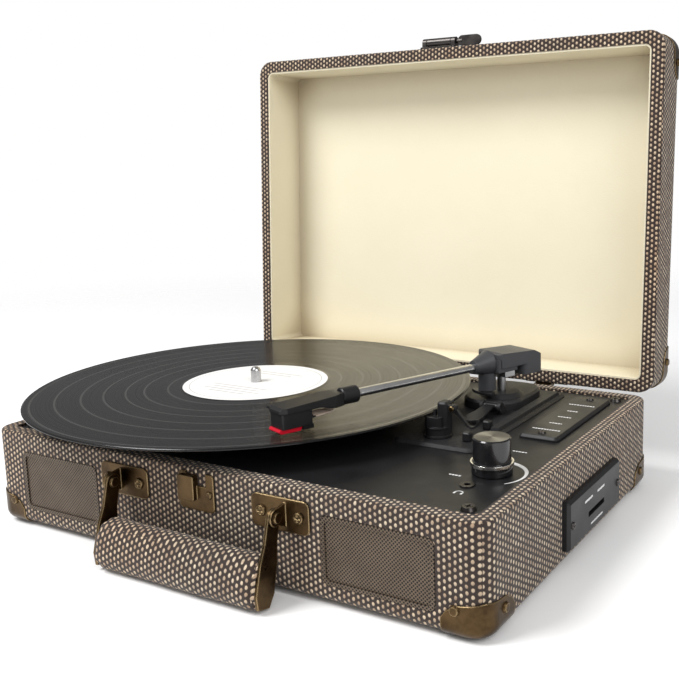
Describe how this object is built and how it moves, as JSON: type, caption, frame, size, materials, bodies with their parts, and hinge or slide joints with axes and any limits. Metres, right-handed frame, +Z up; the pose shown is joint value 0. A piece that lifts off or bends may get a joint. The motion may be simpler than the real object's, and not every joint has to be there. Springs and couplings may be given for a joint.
{
  "type": "suitcase record player",
  "caption": "Suitcase record player, open: cloth-covered case with lid, belt-driven turntable carrying a record, tonearm with cueing lever, speakers, handle and metal corners.",
  "frame": {"origin": "centre of the case's footprint on the surface it stands on", "axes": "+X to the right seen from the front, +Y to the back, +Z up along the spindle"},
  "size_m": [0.3973, 0.3589, 0.3254],
  "materials": {
    "tweed": "woven cloth, cream dots on dark brown",
    "lining": "plain cream lining",
    "bronze": "antique bronze plate, worn edges",
    "black_plastic": "black satin",
    "gloss_black": "polished black",
    "vinyl": "grooved black vinyl",
    "grey_plastic": "dark grey satin",
    "steel": "plain steel",
    "aluminium": "satin tube",
    "red_plastic": "red",
    "felt": "black felt",
    "rubber": "black rubber",
    "wood": "bare softwood",
    "board": "green board",
    "paper": "black paper cone",
    "mesh": "perforated plate",
    "wire": "thin insulated leads",
    "gold": "plated"
  },
  "bodies": {
    "case": {"base_shell": "tweed", "corner_posts": "wood", "rubber_feet": "rubber", "deck_plate": "black_plastic", "deck_screws": "steel", "tonearm_island": "black_plastic", "control_plate": "black_plastic", "speaker_grille_left": "mesh", "speaker_grille_right": "mesh", "speakers": "steel", "speaker_cones": "paper", "side_panel": "black_plastic", "panel_screws": "steel", "rca_jacks": "gold", "dc_jack": "black_plastic", "phone_jack": "steel", "circuit_board": "board", "volume_pot": "black_plastic", "slide_switches": "black_plastic", "motor": "steel", "drive_belt": "rubber", "platter_bearing": "black_plastic", "arm_base": "black_plastic", "arm_rest": "black_plastic", "handle_brackets": "bronze", "bracket_fasteners": "bronze", "latch_catch": "bronze", "base_corner_guards": "bronze", "base_fasteners": "bronze", "base_hinge_leaves": "bronze", "pivot_pins": "bronze"},
    "pulley": {"motor_pulley": "gold"},
    "turntable": {"platter": "black_plastic", "spindle": "steel", "slip_mat": "felt", "record": "vinyl"},
    "gimbal": {"arm_yoke": "steel"},
    "arm": {"arm_housing": "grey_plastic", "arm_cap": "grey_plastic", "arm_tube": "aluminium", "arm_collar": "black_plastic", "headshell": "black_plastic", "cartridge": "black_plastic", "stylus": "red_plastic", "cartridge_wires": "wire"},
    "clip": {"arm_clip": "black_plastic"},
    "lifter": {"cue_lift": "black_plastic"},
    "cueing_lever": {"cue_lever": "black_plastic"},
    "volume": {"volume_knob": "gloss_black"},
    "speed_switch": {"speed_knob": "black_plastic"},
    "stop_switch": {"stop_knob": "black_plastic"},
    "handle": {"handle_straps": "bronze", "handle_grip": "tweed"},
    "lid": {"lid_shell": "tweed", "lid_lining": "lining", "lid_corner_guards": "bronze", "lid_hinge_leaves": "bronze", "lid_fasteners": "bronze", "latch_plate": "bronze"},
    "latch": {"latch_lever": "bronze"}
  },
  "joints": [
    {"name": "lid_hinge", "type": "hinge", "parent": "case", "child": "lid", "pos_m": [0, 0.1326, 0.0567], "axis": [1, 0, 0], "range_deg": [0, 19]},
    {"name": "latch_hinge", "type": "hinge", "parent": "lid", "child": "latch", "pos_m": [0, 0.16242, 0.32131], "axis": [1, 0, 0], "range_deg": [0, 180]},
    {"name": "handle_swing", "type": "hinge", "parent": "case", "child": "handle", "pos_m": [0, -0.1365, 0.0485], "axis": [-1, 0, 0], "range_deg": [0, 76]},
    {"name": "platter_spin", "type": "hinge", "parent": "case", "child": "turntable", "pos_m": [-0.061, -0.0065, 0.07], "axis": [0, 0, 1], "continuous": true},
    {"name": "pulley_spin", "type": "hinge", "parent": "case", "child": "pulley", "pos_m": [-0.121, 0.0535, 0.066], "axis": [0, 0, 1], "continuous": true},
    {"name": "tonearm_yaw", "type": "hinge", "parent": "case", "child": "gimbal", "pos_m": [0.0958, 0.0649, 0.07], "axis": [0, 0, 1], "range_deg": [-25, 20]},
    {"name": "tonearm_pitch", "type": "hinge", "parent": "gimbal", "child": "arm", "pos_m": [0.0958, 0.0649, 0.093], "axis": [-0.9342, 0.3567, 0], "range_deg": [0, 6.9]},
    {"name": "cue_lever", "type": "hinge", "parent": "case", "child": "cueing_lever", "pos_m": [0.1015, 0.0375, 0.0691], "axis": [-1, 0, 0], "range_deg": [0, 40]},
    {"name": "cue_lift", "type": "slide", "parent": "case", "child": "lifter", "axis": [0, 0, 1], "range_m": [0, 0.0016]},
    {"name": "clip_swing", "type": "hinge", "parent": "case", "child": "clip", "pos_m": [0.1036, -0.018, 0.0824], "axis": [0, -1, 0], "range_deg": [0, 160]},
    {"name": "volume_turn", "type": "hinge", "parent": "case", "child": "volume", "pos_m": [0.149, -0.058, 0.07], "axis": [0, 0, 1], "range_deg": [0, 270]},
    {"name": "speed_slide", "type": "slide", "parent": "case", "child": "speed_switch", "axis": [0, 1, 0], "range_m": [0, 0.005]},
    {"name": "stop_slide", "type": "slide", "parent": "case", "child": "stop_switch", "axis": [0, 1, 0], "range_m": [0, 0.005]}
  ],
  "couplings": [
    {"joint": "pulley_spin", "follows": "platter_spin", "ratio": 20},
    {"joint": "cue_lift", "follows": "cue_lever", "m_per_rad": 0.0022918},
    {"joint": "tonearm_pitch", "follows": "cue_lever", "ratio": 0.171}
  ]
}
